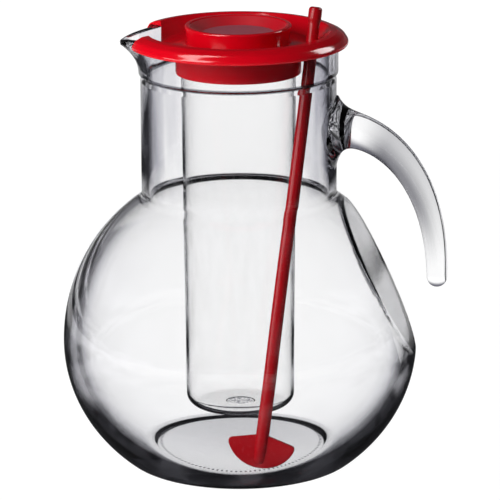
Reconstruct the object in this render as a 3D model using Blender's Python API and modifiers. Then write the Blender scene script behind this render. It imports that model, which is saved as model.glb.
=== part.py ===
"""Lidded glass jug with a screw-in ice tube and a long stirrer.

Lengths are in metres, +Z is up, and the jug stands on the plane z = 0.
The spout points along -X and the handle along +X.
"""
import math

import bmesh
import bpy
from mathutils import Matrix, Vector

# Running gap between pieces that rest on or fit in each other
SEAT_GAP = 0.0003
# How far a cutter runs past what it cuts
OVERRUN = 0.004
# Points nearer than this are welded
WELD = 0.00001

# Sides of the turned pieces
GLASS_STEPS = 64
LID_STEPS = 64
TUBE_STEPS = 40
ROD_STEPS = 16

# Glass body: a ball-shaped bowl below a straight neck
BODY_RADIUS = 0.0900
BODY_CENTRE_HEIGHT = 0.0640
BOWL_SINK = 0.0164
INNER_BOWL_SINK = 0.0100
BOWL_POINTS = 7
FOOT_RADIUS = 0.0495
FOOT_BEVEL_RADIUS = 0.0540
FOOT_BEVEL_HEIGHT = 0.0005
FOOT_ROUND_HEIGHT = 0.0018
FLOOR_THICKNESS = 0.0062
FLOOR_CORNER = 0.0082
FLOOR_CORNER_HEIGHT = 0.0022
GLASS_WALL = 0.0038
NECK_RADIUS = 0.0493
SHOULDER_FILLET = 0.0050
SHOULDER_POINTS = 3
JUG_HEIGHT = 0.2214

# Thicker band round the mouth, with a small ledge below it
RIM_BAND_HEIGHT = 0.0186
RIM_BAND_STEP = 0.0009
RIM_LEDGE_HEIGHT = 0.0010
RIM_OUTER_ROUND = 0.0016
RIM_INNER_ROUND = 0.0015
LIP_STEPS = 2

# Spout: the rim drawn out to a point, whose flanks are tangents to the rim
SPOUT_REACH = 0.0092
SPOUT_WALL = 0.0032
SPOUT_HEIGHT = 0.0176
SPOUT_LIP_HEIGHT = 0.0024
SPOUT_CHANNEL_HEIGHT = 0.0185
SPOUT_DIP = 0.0020
SPOUT_ROWS = 6
OUTER_FLARE_POWER = 1.8
INNER_FLARE_POWER = 1.7
SPOUT_POINT_ANGLE = math.radians(2.5)

# Flat facet on the bowl below the handle, where the knuckles go
FACET_DEPTH = 0.0110
FACET_ELEVATION = math.radians(25.5)
FACET_STEPS = 48

# Open handle: a bent glass bar, wide at its weld and tapered to a free end
HANDLE_ROOT_SHARE = 0.535
HANDLE_HANG = 0.0775
HANDLE_STANDOFF = 0.0102
HANDLE_ROOT_PULL = 0.0340
WELD_REACH = 0.0080
HANDLE_END_PULL = 0.0500
HANDLE_ROOT_RADIUS = 0.0097
HANDLE_END_RADIUS = 0.0052
HANDLE_WIDTH_SHARE = 1.15
HANDLE_SPACING_POWER = 1.4
HANDLE_POINTS = 20
HANDLE_END_POINTS = 3
HANDLE_BEVEL_RESOLUTION = 5
WELD_FLARE = 0.0115
WELD_FLARE_LENGTH = 0.0030
WELD_SAG = 0.0045

# Lid: one moulding with a rim cap, a dish, a grip ring and a threaded collar
LID_RADIUS = 0.0553
LID_SKIRT_DEPTH = 0.0041
LID_SKIRT_WALL = 0.0016
LID_SKIRT_TAPER = 0.0007
RIDGE_RADIUS = 0.0462
RIDGE_THICKNESS = 0.0026
BRIM_FALL = 0.0004
BRIM_ROUND_WIDTH = 0.0059
BRIM_ROUND_HEIGHT = 0.0040
BRIM_TUCK = math.radians(14)
BRIM_HOLLOW_ROUND = 0.0018
BRIM_POINTS = 6
HOLLOW_POINTS = 3
DISH_RIM_DROP = 0.0006
DISH_RIM_INSET = 0.0008
DISH_DEPTH = 0.0068
DISH_FLOOR_RADIUS = 0.0385
LID_WALL = 0.0022
RAMP_WALL = 0.0014
GRIP_RADIUS = 0.0269
GRIP_BASE_INSET = 0.0014
GRIP_HEIGHT = 0.0096
GRIP_LIP = 0.0024
GRIP_LIP_ROUND = 0.0008
RECESS_DEPTH = 0.0084
RECESS_FLOOR_RADIUS = 0.0160
COLLAR_LENGTH = 0.0119
COLLAR_WALL = 0.0023
THREAD_CLEARANCE = 0.0004

# Gap in the lid for pouring, seen from above, and slot for the stirrer
GAP_OUTLINE = ((-0.0380, -0.0120), (-0.0640, -0.0230), (-0.0640, 0.0405), (-0.0400, 0.0220))
SLOT_CLEARANCE = 0.0006

# Ice tube, open at the top and screwed into the collar
TUBE_RADIUS = 0.0289
TUBE_TAPER = 0.0014
TUBE_BOTTOM_HEIGHT = 0.0283
TUBE_WALL = 0.0018
TUBE_FLOOR = 0.0026
TUBE_CORNER = 0.0065
CORNER_POINTS = 4
GATE_RADIUS = 0.0075
GATE_DEPTH = 0.0007

# Flat ring between the tube's mouth and the lid
SEAL_THICKNESS = 0.0012
SEAL_WIDTH = 0.0028

# Stirrer: knob, rod and a half-moon blade in one moulding
STIRRER_HOLE_STANDOFF = 0.00805
STIRRER_HOLE_ANGLE = math.radians(-9)
STIRRER_FOOT_INSET = 0.0050
STIRRER_STANDOFF = 0.0042
STIRRER_PROUD = 0.0202
ROD_TOP_RADIUS = 0.0030
ROD_FOOT_RADIUS = 0.0033
KNOB_RADIUS = 0.0034
KNOB_LENGTH = 0.0080
KNOB_POINTS = 4
BLADE_RADIUS = 0.0180
BLADE_DROOP = math.radians(14)
BLADE_THICKNESS = 0.0024
BLADE_TURN = math.radians(-8)
BLADE_CORNER_SHARE = 0.93
BLADE_START = math.radians(24)
BLADE_POINTS = 10
ROD_END_SHARE = 0.86


def new_collection(name):
    """Make a collection in the scene."""
    collection = bpy.data.collections.new(name)
    bpy.context.scene.collection.children.link(collection)
    return collection


def new_material(name, colour, roughness, transmission=0.0, ior=1.5):
    """Make a Principled material."""
    material = bpy.data.materials.new(name)
    material.use_nodes = True
    shader = material.node_tree.nodes["Principled BSDF"]
    shader.inputs["Base Color"].default_value = (*colour, 1.0)
    shader.inputs["Roughness"].default_value = roughness
    shader.inputs["Metallic"].default_value = 0.0
    shader.inputs["Transmission Weight"].default_value = transmission
    shader.inputs["IOR"].default_value = ior
    return material


def new_object(name, data, collection, material=None):
    """Make an object from a mesh or curve and give it a material."""
    piece = bpy.data.objects.new(name, data)
    collection.objects.link(piece)
    if material:
        data.materials.append(material)
    return piece


def smooth(mesh):
    """Shade a mesh smooth and keep its sharp edges."""
    mesh.shade_smooth()
    mesh.set_sharp_from_angle(angle=math.radians(35))


def bake(piece):
    """Replace an object by a plain mesh of what it evaluates to."""
    graph = bpy.context.evaluated_depsgraph_get()
    mesh = bpy.data.meshes.new_from_object(piece.evaluated_get(graph))
    form = bmesh.new()
    form.from_mesh(mesh)
    bmesh.ops.remove_doubles(form, verts=form.verts, dist=WELD)
    form.to_mesh(mesh)
    form.free()
    name, place = piece.name, piece.matrix_world.copy()
    collection = piece.users_collection[0]
    bpy.data.objects.remove(piece)
    baked = bpy.data.objects.new(name, mesh)
    baked.matrix_world = place
    collection.objects.link(baked)
    smooth(mesh)
    return baked


def turned(name, profile, steps, collection, material=None):
    """Turn a profile of (radius, height) points, given down its outer side."""
    mesh = bpy.data.meshes.new(name)
    points = [(radius, 0.0, height) for radius, height in profile]
    mesh.from_pydata(points, [(n, n + 1) for n in range(len(points) - 1)], [])
    piece = new_object(name, mesh, collection, material)
    screw = piece.modifiers.new("turn", "SCREW")
    screw.axis = "Z"
    screw.steps = steps
    screw.render_steps = steps
    screw.use_merge_vertices = True
    screw.merge_threshold = WELD
    bpy.context.view_layer.update()
    return bake(piece)


def arc(centre, semi_axes, start, end, count):
    """Points along an ellipse from one angle to another, ends included."""
    points = []
    for n in range(count + 1):
        angle = start + (end - start) * n / count
        across = semi_axes[0] * math.cos(angle)
        up = semi_axes[1] * math.sin(angle)
        points.append((centre[0] + across, centre[1] + up))
    return points


def cut(piece, cutter, operation="DIFFERENCE"):
    """Add a Boolean modifier."""
    boolean = piece.modifiers.new(cutter.name, "BOOLEAN")
    boolean.operation = operation
    boolean.solver = "EXACT"
    boolean.object = cutter
    cutter.hide_render = True
    cutter.display_type = "WIRE"


def shoulder(offset):
    """Centre, angle and radius of the fillet between neck and bowl, with the face moved in by offset."""
    reach = BODY_RADIUS + SHOULDER_FILLET
    across = NECK_RADIUS + SHOULDER_FILLET
    up = math.sqrt(reach**2 - across**2)
    return (across, BODY_CENTRE_HEIGHT + up), math.atan2(up, across), SHOULDER_FILLET + offset


def bowl_wall(offset, sink, end_height):
    """The bowl from the neck down to a height, moved in by offset; its ellipse ends sink below the table."""
    centre, angle, fillet = shoulder(offset)
    radius = BODY_RADIUS - offset
    middle = (0.0, BODY_CENTRE_HEIGHT)
    lower_semi_axis = BODY_CENTRE_HEIGHT + sink
    foot = math.asin((BODY_CENTRE_HEIGHT - end_height) / lower_semi_axis)
    points = arc(centre, (fillet, fillet), math.pi, math.pi + angle, SHOULDER_POINTS)
    points += arc(middle, (radius, radius), angle, 0.0, BOWL_POINTS)[1:]
    points += arc(middle, (radius, lower_semi_axis), 0.0, -foot, BOWL_POINTS)[1:]
    return points


def pull_spout(mesh, radius, reach, start, top, power):
    """Draw a round wall out to a point at -X, more the higher it is."""
    flank = math.acos(radius / reach)
    full = reach / radius - 1.0
    for vertex in mesh.vertices:
        rise = min(max((vertex.co.z - start) / (top - start), 0.0), 1.0)
        aside = math.atan2(vertex.co.y, -vertex.co.x)
        lean = max(flank - math.hypot(aside, SPOUT_POINT_ANGLE) + SPOUT_POINT_ANGLE, 0.0)
        stretch = 1.0 / math.cos(min(lean, flank)) - 1.0
        vertex.co.x *= 1.0 + stretch * rise**power
        vertex.co.y *= 1.0 + stretch * rise**power
        vertex.co.z -= SPOUT_DIP * (stretch / full) ** 2 * rise**power


def facet_cutter(name, offset, collection):
    """A drum whose end face lies on the facet, moved in by offset."""
    from_centre = BODY_RADIUS - FACET_DEPTH - offset
    radius = math.sqrt((BODY_RADIUS - offset) ** 2 - from_centre**2) + OVERRUN
    depth = FACET_DEPTH + OVERRUN
    form = bmesh.new()
    ends = {"radius1": radius, "radius2": radius, "depth": depth}
    bmesh.ops.create_cone(form, cap_ends=True, segments=FACET_STEPS, **ends)
    mesh = bpy.data.meshes.new(name)
    form.to_mesh(mesh)
    form.free()
    cutter = new_object(name, mesh, collection)
    outward = Vector((math.cos(FACET_ELEVATION), 0.0, math.sin(FACET_ELEVATION)))
    cutter.location = Vector((0.0, 0.0, BODY_CENTRE_HEIGHT)) + outward * (from_centre + depth / 2)
    cutter.rotation_euler = (0.0, math.pi / 2 - FACET_ELEVATION, 0.0)
    return cutter


def inner_bowl():
    """The inside of the bowl, down to the rounded corner of the floor."""
    return bowl_wall(GLASS_WALL, INNER_BOWL_SINK, FLOOR_THICKNESS + FLOOR_CORNER_HEIGHT)


def floor_radius():
    """Radius of the flat part of the glass floor."""
    return inner_bowl()[-1][0] - FLOOR_CORNER


def ledge_height():
    """Height of the ledge below the rim band."""
    return JUG_HEIGHT - RIM_BAND_HEIGHT


def rows_between(radius, top, bottom):
    """Points straight down a wall, both ends included."""
    return [(radius, top - (top - bottom) * n / SPOUT_ROWS) for n in range(SPOUT_ROWS + 1)]


def make_glass_body(parts, cutters, glass):
    """The bowl, neck, rim band and spout, hollowed to an even wall."""
    band = NECK_RADIUS + RIM_BAND_STEP
    ledge = ledge_height()
    spout_start = JUG_HEIGHT - SPOUT_HEIGHT
    spout_lip = JUG_HEIGHT - SPOUT_LIP_HEIGHT
    edge = (band - RIM_OUTER_ROUND, JUG_HEIGHT - RIM_OUTER_ROUND)
    outer = [(0.0, JUG_HEIGHT)]
    outer += arc(edge, (RIM_OUTER_ROUND, RIM_OUTER_ROUND), math.pi / 2, 0.0, LIP_STEPS)
    outer += rows_between(band, spout_lip, spout_start)
    outer += [(band, ledge + RIM_LEDGE_HEIGHT), (NECK_RADIUS, ledge)]
    outer += bowl_wall(0.0, BOWL_SINK, FOOT_ROUND_HEIGHT)
    outer += [(FOOT_BEVEL_RADIUS, FOOT_BEVEL_HEIGHT), (FOOT_RADIUS, 0.0), (0.0, 0.0)]
    body = turned("glass_body", outer, GLASS_STEPS, parts, glass)
    pull_spout(body.data, band, band + SPOUT_REACH, spout_start, spout_lip, OUTER_FLARE_POWER)

    bore = NECK_RADIUS - GLASS_WALL
    mouth = bore + RIM_INNER_ROUND
    channel = JUG_HEIGHT - SPOUT_CHANNEL_HEIGHT
    round_start = JUG_HEIGHT - RIM_INNER_ROUND
    lip = (RIM_INNER_ROUND, RIM_INNER_ROUND)
    inner = [(0.0, JUG_HEIGHT + OVERRUN), (mouth, JUG_HEIGHT + OVERRUN)]
    inner += arc((mouth, round_start), lip, math.pi / 2, math.pi, LIP_STEPS)
    inner += rows_between(bore, round_start, channel)[1:]
    inner += inner_bowl()
    inner += [(inner[-1][0] - FLOOR_CORNER / 3, FLOOR_THICKNESS + FLOOR_CORNER_HEIGHT / 3)]
    inner += [(floor_radius(), FLOOR_THICKNESS), (0.0, FLOOR_THICKNESS)]
    hollow = turned("hollow", inner, GLASS_STEPS, cutters)
    tip = band + SPOUT_REACH - SPOUT_WALL
    pull_spout(hollow.data, mouth, tip, channel, JUG_HEIGHT, INNER_FLARE_POWER)
    cut(hollow, facet_cutter("facet_inside", GLASS_WALL, cutters))
    cut(body, facet_cutter("facet_outside", 0.0, cutters))
    cut(body, hollow)


def handle_point(share):
    """A point of the handle's centre line, from its root at 0 to its end at 1."""
    shoulder_height = shoulder(0.0)[0][1]
    root = shoulder_height + (ledge_height() - shoulder_height) * HANDLE_ROOT_SHARE
    start = Vector((NECK_RADIUS - WELD_REACH, 0.0, root))
    end = Vector((BODY_RADIUS + HANDLE_STANDOFF, 0.0, root - HANDLE_HANG))
    first = start + Vector((HANDLE_ROOT_PULL, 0.0, 0.0))
    second = end + Vector((0.0, 0.0, HANDLE_END_PULL))
    rest = 1.0 - share
    bend = first * (3 * rest**2 * share) + second * (3 * rest * share**2)
    return start * rest**3 + bend + end * share**3


def handle_stations():
    """Centre points and radii along the handle, with a flare at the weld and a round end."""
    stations = []
    for n in range(HANDLE_POINTS + 1):
        share = (n / HANDLE_POINTS) ** HANDLE_SPACING_POWER
        point = handle_point(share)
        fade = math.exp(-max(point.x - NECK_RADIUS, 0.0) / WELD_FLARE_LENGTH)
        point.z -= WELD_SAG * fade
        radius = HANDLE_ROOT_RADIUS + (HANDLE_END_RADIUS - HANDLE_ROOT_RADIUS) * share
        stations.append((point, radius + WELD_FLARE * fade))
    for n in range(1, HANDLE_END_POINTS + 1):
        angle = math.pi / 2 * n / (HANDLE_END_POINTS + 1)
        drop = Vector((0.0, 0.0, HANDLE_END_RADIUS * math.sin(angle)))
        stations.append((handle_point(1.0) - drop, HANDLE_END_RADIUS * math.cos(angle)))
    return stations


def make_glass_handle(parts, cutters, glass):
    """The handle's tapered bar, trimmed to the neck that it is welded to."""
    curve = bpy.data.curves.new("glass_handle", "CURVE")
    curve.dimensions = "3D"
    curve.bevel_depth = HANDLE_END_RADIUS
    curve.bevel_resolution = HANDLE_BEVEL_RESOLUTION
    curve.use_fill_caps = True
    stations = handle_stations()
    line = curve.splines.new("POLY")
    line.points.add(len(stations) - 1)
    for spot, (point, radius) in zip(line.points, stations):
        spot.co = (*point, 1.0)
        spot.radius = radius / HANDLE_END_RADIUS
    bar = new_object("glass_handle", curve, parts, glass)
    bar.scale.y = HANDLE_WIDTH_SHARE
    bpy.context.view_layer.update()
    bar = bake(bar)
    band = NECK_RADIUS + RIM_BAND_STEP + SEAT_GAP
    top = JUG_HEIGHT + OVERRUN
    profile = [(0.0, top), (band, top), (band, ledge_height() - SEAT_GAP)]
    profile += [(NECK_RADIUS + SEAT_GAP, ledge_height() - SEAT_GAP)]
    profile += bowl_wall(-SEAT_GAP, BOWL_SINK + SEAT_GAP, FOOT_ROUND_HEIGHT)
    clearance = turned("glass_clearance", profile + [(0.0, FOOT_ROUND_HEIGHT)], GLASS_STEPS, cutters)
    cut(clearance, facet_cutter("facet_clearance", -SEAT_GAP, cutters))
    cut(bar, clearance)


def lid_top():
    """The lid's upper side from the middle out, with height 0 on the glass rim."""
    floor = RIDGE_THICKNESS - DISH_DEPTH
    grip = floor + GRIP_HEIGHT
    recess = grip - RECESS_DEPTH
    lip = GRIP_LIP_ROUND
    shoulder_height = RIDGE_THICKNESS - BRIM_FALL
    brim = (LID_RADIUS - BRIM_ROUND_WIDTH, shoulder_height - BRIM_ROUND_HEIGHT)
    semi_axes = (BRIM_ROUND_WIDTH, BRIM_ROUND_HEIGHT)
    points = [(0.0, recess), (RECESS_FLOOR_RADIUS, recess)]
    points += [(GRIP_RADIUS - GRIP_LIP - lip, grip - lip), (GRIP_RADIUS - GRIP_LIP, grip)]
    points += [(GRIP_RADIUS - lip, grip), (GRIP_RADIUS, grip - lip)]
    points += [(GRIP_RADIUS - GRIP_BASE_INSET, floor), (DISH_FLOOR_RADIUS, floor)]
    points += [(RIDGE_RADIUS - DISH_RIM_INSET, RIDGE_THICKNESS - DISH_RIM_DROP)]
    points += [(RIDGE_RADIUS, RIDGE_THICKNESS)]
    points += arc(brim, semi_axes, math.pi / 2, -BRIM_TUCK, BRIM_POINTS)
    return points


def lid_underside():
    """The lid's lower side from the skirt in: seat, dish wall, collar and the core of the grip."""
    floor = RIDGE_THICKNESS - DISH_DEPTH
    under = socket_top()
    recess = floor + GRIP_HEIGHT - RECESS_DEPTH
    inside = LID_RADIUS - LID_SKIRT_WALL
    hollow = (inside - BRIM_HOLLOW_ROUND, -BRIM_HOLLOW_ROUND)
    points = [(LID_RADIUS - LID_SKIRT_TAPER, -LID_SKIRT_DEPTH), (inside, -LID_SKIRT_DEPTH)]
    points += arc(hollow, (BRIM_HOLLOW_ROUND, BRIM_HOLLOW_ROUND), 0.0, math.pi / 2, HOLLOW_POINTS)
    run = RIDGE_RADIUS - DISH_RIM_INSET - DISH_FLOOR_RADIUS
    rise = DISH_DEPTH - DISH_RIM_DROP
    slope = run / rise
    foot = DISH_FLOOR_RADIUS + RAMP_WALL * math.hypot(1.0, slope)
    points += [(foot - floor * slope, 0.0), (foot - (floor - under) * slope, under)]
    bore = TUBE_RADIUS + THREAD_CLEARANCE
    points += [(bore + COLLAR_WALL, under), (bore + COLLAR_WALL, under - COLLAR_LENGTH)]
    points += [(bore, under - COLLAR_LENGTH), (bore, under)]
    well = GRIP_RADIUS - GRIP_BASE_INSET - LID_WALL
    cone = (GRIP_RADIUS - GRIP_LIP - RECESS_FLOOR_RADIUS) / RECESS_DEPTH
    well_foot = RECESS_FLOOR_RADIUS + LID_WALL * (math.hypot(1.0, cone) - cone)
    points += [(well, under), (well, recess - LID_WALL + (well - well_foot) / cone)]
    return points + [(well_foot, recess - LID_WALL), (0.0, recess - LID_WALL)]


def socket_top():
    """Height of the top of the tube's socket, measured from the lid's seat."""
    return RIDGE_THICKNESS - DISH_DEPTH - LID_WALL


def lid_seat():
    """Height of the lid's seat above the table."""
    return JUG_HEIGHT + SEAT_GAP


def on_circle(radius, angle, height):
    """A point at a radius and an angle round the jug's axis."""
    return Vector((radius * math.cos(angle), radius * math.sin(angle), height))


def stirrer_line():
    """Where the stirrer's axis crosses the lid's web and meets the floor, as it leans past the tube."""
    web = lid_seat() + socket_top() + LID_WALL / 2
    nearest = TUBE_RADIUS + STIRRER_STANDOFF
    hole_radius = TUBE_RADIUS + STIRRER_HOLE_STANDOFF
    foot_radius = floor_radius() - STIRRER_FOOT_INSET
    swing = math.acos(nearest / hole_radius) + math.acos(nearest / foot_radius)
    hole = on_circle(hole_radius, STIRRER_HOLE_ANGLE, web)
    foot = on_circle(foot_radius, STIRRER_HOLE_ANGLE - swing, FLOOR_THICKNESS)
    return hole, foot


def plate(name, outline, half_thickness, place, collection):
    """A flat plate with an outline in its own XY plane."""
    curve = bpy.data.curves.new(name, "CURVE")
    curve.dimensions = "2D"
    curve.fill_mode = "BOTH"
    curve.extrude = half_thickness
    line = curve.splines.new("POLY")
    line.points.add(len(outline) - 1)
    for spot, (across, along) in zip(line.points, outline):
        spot.co = (across, along, 0.0, 1.0)
    line.use_cyclic_u = True
    piece = new_object(name, curve, collection)
    piece.matrix_world = place
    bpy.context.view_layer.update()
    return bake(piece)


def slot_outline(length, half_width):
    """A slot with round ends, from the origin along +X."""
    ends = arc((length, 0.0), (half_width, half_width), -math.pi / 2, math.pi / 2, ROD_STEPS // 2)
    return ends + arc((0.0, 0.0), (half_width, half_width), math.pi / 2, math.pi * 3 / 2, ROD_STEPS // 2)


def make_lid(parts, cutters, plastic):
    """The lid with its pouring gap and the slot that the stirrer leans in."""
    lid = turned("lid", lid_top() + lid_underside(), LID_STEPS, parts, plastic)
    lid.location.z = lid_seat()
    depth = DISH_DEPTH + LID_WALL
    gap_place = Matrix.Translation((0.0, 0.0, lid_seat()))
    cut(lid, plate("pouring_gap", GAP_OUTLINE, depth, gap_place, cutters))
    hole, foot = stirrer_line()
    lean = (hole - foot).normalized()
    shift = math.hypot(lean.x, lean.y) / lean.z * STIRRER_PROUD
    half_width = ROD_TOP_RADIUS / lean.z + SLOT_CLEARANCE
    turn = Matrix.Rotation(math.atan2(lean.y, lean.x), 4, "Z")
    slot_place = Matrix.Translation(hole) @ turn
    cut(lid, plate("stirrer_slot", slot_outline(shift, half_width), depth, slot_place, cutters))
    return lid


def make_seal(parts, rubber, lid):
    """The flat ring between the tube's mouth and the top of its socket."""
    inner = TUBE_RADIUS - SEAL_WIDTH
    profile = [(inner, SEAL_THICKNESS), (TUBE_RADIUS, SEAL_THICKNESS), (TUBE_RADIUS, 0.0), (inner, 0.0)]
    seal = turned("tube_seal", profile + profile[:1], TUBE_STEPS, parts, rubber)
    seal.parent = lid
    seal.location.z = socket_top() - SEAT_GAP - SEAL_THICKNESS
    return seal


def make_ice_tube(parts, plastic, seal):
    """The clear tube, slightly tapered, with a rounded closed end."""
    length = lid_seat() + seal.location.z - SEAT_GAP - TUBE_BOTTOM_HEIGHT
    bottom = -length
    centre = TUBE_RADIUS - TUBE_TAPER - TUBE_CORNER
    inner_corner = TUBE_CORNER - TUBE_WALL
    inside = (centre, bottom + TUBE_FLOOR + inner_corner)
    outside = (centre, bottom + TUBE_CORNER)
    profile = [(0.0, bottom + TUBE_FLOOR)]
    profile += arc(inside, (inner_corner, inner_corner), -math.pi / 2, 0.0, CORNER_POINTS)
    profile += [(TUBE_RADIUS - TUBE_WALL, 0.0), (TUBE_RADIUS, 0.0)]
    profile += arc(outside, (TUBE_CORNER, TUBE_CORNER), 0.0, -math.pi / 2, CORNER_POINTS)
    profile += [(GATE_RADIUS, bottom), (GATE_RADIUS - GATE_DEPTH, bottom + GATE_DEPTH)]
    profile += [(0.0, bottom + GATE_DEPTH)]
    tube = turned("ice_tube", profile, TUBE_STEPS, parts, plastic)
    tube.parent = seal
    tube.location.z = -SEAT_GAP


def blade_outline():
    """A half-moon, round side down, whose two top edges fall away from the rod."""
    across = BLADE_RADIUS * BLADE_CORNER_SHARE
    fall = across * math.tan(BLADE_DROOP)
    start = math.pi + BLADE_START
    end = math.pi * 2 - BLADE_START
    sweep = arc((0.0, 0.0), (BLADE_RADIUS, BLADE_RADIUS), start, end, BLADE_POINTS)
    return [(0.0, 0.0), (-across, -fall)] + sweep + [(across, -fall)]


def make_stirrer(parts, cutters, plastic):
    """Knob, rod and blade, leaning from the glass floor up through the lid."""
    hole, foot = stirrer_line()
    up = (hole - foot).normalized()
    wide = Vector((math.cos(BLADE_TURN), math.sin(BLADE_TURN), 0.0))
    wide = (wide - up * wide.dot(up)).normalized()
    facing = up.cross(wide)
    reach = BLADE_RADIUS * math.hypot(up.z, wide.z) + BLADE_THICKNESS / 2 * abs(facing.z)
    centre = foot + up * ((SEAT_GAP + reach) / up.z)
    place = Matrix((wide, facing, up)).transposed().to_4x4()
    place.translation = centre
    top = (hole - centre).length + STIRRER_PROUD / up.z
    bottom = -BLADE_RADIUS * ROD_END_SHARE
    neck = top - KNOB_LENGTH

    profile = arc((0.0, top - KNOB_RADIUS), (KNOB_RADIUS, KNOB_RADIUS), math.pi / 2, 0.0, KNOB_POINTS)
    profile += [(KNOB_RADIUS, neck + KNOB_LENGTH / 4), (ROD_TOP_RADIUS, neck)]
    profile += [(ROD_FOOT_RADIUS, 0.0), (ROD_FOOT_RADIUS, bottom / 2)]
    profile += [(BLADE_THICKNESS, bottom), (0.0, bottom)]
    stirrer = turned("stirrer", profile, ROD_STEPS, parts, plastic)
    stirrer.matrix_world = place
    upright = place @ Matrix.Rotation(math.pi / 2, 4, "X")
    blade = plate("blade", blade_outline(), BLADE_THICKNESS / 2, upright, cutters)
    cut(stirrer, blade, "UNION")


def main():
    """Build the jug from an empty scene."""
    for piece in list(bpy.data.objects):
        bpy.data.objects.remove(piece)
    parts = new_collection("lidded_jug")
    cutters = new_collection("cutters")
    glass = new_material("clear_glass", (0.97, 0.98, 0.98), 0.02, 1.0, 1.5)
    red = new_material("red_plastic", (0.62, 0.004, 0.02), 0.18)
    clear = new_material("clear_plastic", (0.95, 0.96, 0.97), 0.05, 1.0, 1.49)
    rubber = new_material("pale_rubber", (0.80, 0.80, 0.78), 0.55)
    stirrer_red = new_material("stirrer_red_plastic", (0.60, 0.004, 0.02), 0.22)
    handle_glass = new_material("handle_glass", (0.96, 0.98, 0.98), 0.02, 1.0, 1.5)
    make_glass_body(parts, cutters, glass)
    make_glass_handle(parts, cutters, handle_glass)
    lid = make_lid(parts, cutters, red)
    seal = make_seal(parts, rubber, lid)
    make_ice_tube(parts, clear, seal)
    make_stirrer(parts, cutters, stirrer_red)


main()
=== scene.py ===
"""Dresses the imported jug: one piece of clear glass, red mouldings, a clear tube and a white studio.

Lengths are in metres. The spout points along -X and the handle along +X.
"""
import math

import bmesh
import bpy
import numpy as np
from mathutils import Matrix, Vector


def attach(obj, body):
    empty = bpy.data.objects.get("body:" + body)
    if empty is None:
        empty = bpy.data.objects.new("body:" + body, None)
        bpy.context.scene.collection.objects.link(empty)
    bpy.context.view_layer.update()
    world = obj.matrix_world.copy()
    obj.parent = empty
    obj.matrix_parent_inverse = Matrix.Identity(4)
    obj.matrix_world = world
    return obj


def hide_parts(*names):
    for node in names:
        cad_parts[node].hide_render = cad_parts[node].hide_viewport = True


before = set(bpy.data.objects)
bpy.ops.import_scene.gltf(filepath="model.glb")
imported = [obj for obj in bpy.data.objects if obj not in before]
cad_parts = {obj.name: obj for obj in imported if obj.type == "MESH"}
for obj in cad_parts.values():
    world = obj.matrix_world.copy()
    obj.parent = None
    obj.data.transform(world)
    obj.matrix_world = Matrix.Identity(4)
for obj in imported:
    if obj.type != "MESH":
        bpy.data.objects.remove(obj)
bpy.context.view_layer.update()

# The gap that each piece keeps from what carries it, as in the CAD
GAP = 0.0003

# The longest stretches of a profile between two points
THREAD_STEP = 0.0004
CURVE_STEP = 0.0016
WALL_STEP = 0.0030
FLAT_STEP = 0.0040

# Steps round the jug in radians: close near the spout and the handle, wide elsewhere
CLOSE_ANGLE = math.radians(1.0)
WIDE_ANGLE = math.radians(1.8)
CLOSE_TO_SPOUT = 0.75
CLOSE_TO_HANDLE = 0.55

# Body of the glass, as in the CAD
BODY_RADIUS = 0.0900
BODY_CENTRE = 0.0640
LOWER_AXIS = 0.0804
WALL = 0.0038
NECK_RADIUS = 0.0493
BAND_RADIUS = 0.0502
SHOULDER_FILLET = 0.0050
JUG_HEIGHT = 0.2214
LEDGE_HEIGHT = 0.2028
FLOOR_HEIGHT = 0.0062

# Inside of the glass, whose wall is thicker than the CAD's low down and at the widest
INNER_LOWER_AXIS = 0.0715
INNER_MIDDLE_RADIUS = 0.0842
INNER_FILLET = 0.0060
FLOOR_RADIUS = 0.0486
FLOOR_BEND = 0.0505
RIM_MIDDLE = 0.0478

# Foot: a ring to stand on round a hollowed underside, and the bend from there into the bowl
FOOT_RADIUS = 0.0495
FOOT_BEND = 0.0545
FOOT_RING_RADIUS = 0.0466
UNDERSIDE_RADIUS = 0.0436
UNDERSIDE_HEIGHT = 0.0014
BOWL_START = 0.0030
INNER_BOWL_START = FLOOR_HEIGHT + 0.0035

# Spout, outside and inside: its reach, the heights between which it grows, and the power of that growth
SPOUT_REACH = 0.0594
SPOUT_DIP = 0.0020
SPOUT_POINT = math.radians(2.5)
SPOUT_START = JUG_HEIGHT - 0.0176
SPOUT_TOP = JUG_HEIGHT - 0.0024
SPOUT_POWER = 1.8
SPOUT_INNER_RADIUS = 0.0470
SPOUT_INNER_REACH = 0.0562
SPOUT_INNER_START = JUG_HEIGHT - 0.0185
SPOUT_INNER_POWER = 1.7

# Facet below the handle: its distance from the ball's middle, its tilt and the softness of its edge
FACET_OUT = 0.0790
FACET_TILT = math.radians(25.5)
FACET_LIMIT = 0.0480
FACET_SOFT = 0.0003
FACET_INNER_SOFT = 0.0005

# Handle: its centre line, half its height and width, and its spread where it is fused to the neck
HANDLE_START = Vector((0.0474, 0.0, 0.1745))
HANDLE_BENDS = (Vector((0.0753, 0.0, 0.1745)), Vector((0.1002, 0.0, 0.1470)))
HANDLE_END = Vector((0.1002, 0.0, 0.0970))
HANDLE_HALF = 0.0098
HANDLE_END_HALF = 0.0052
HANDLE_WIDER = 1.12
WELD_LENGTH = 0.0026
WELD_DROP = 0.0045
WELD_HEIGHT = 0.0110
WELD_WIDTH = 0.0085
WELD_FOOT_LENGTH = 0.0075
WELD_FOOT_WIDTH = 0.0020

# Lid
SEAT = JUG_HEIGHT + GAP
SOCKET_TOP = SEAT - 0.0064
COLLAR_RADIUS = 0.0316
COLLAR_BORE = 0.0299
DISC_RADIUS = 0.0180
RECESS_RADIUS = 0.0238
CUT_REACH = 0.0120
GAP_OUTLINE = ((-0.0380, -0.0120), (-0.0640, -0.0230), (-0.0640, 0.0405), (-0.0400, 0.0220))

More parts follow.
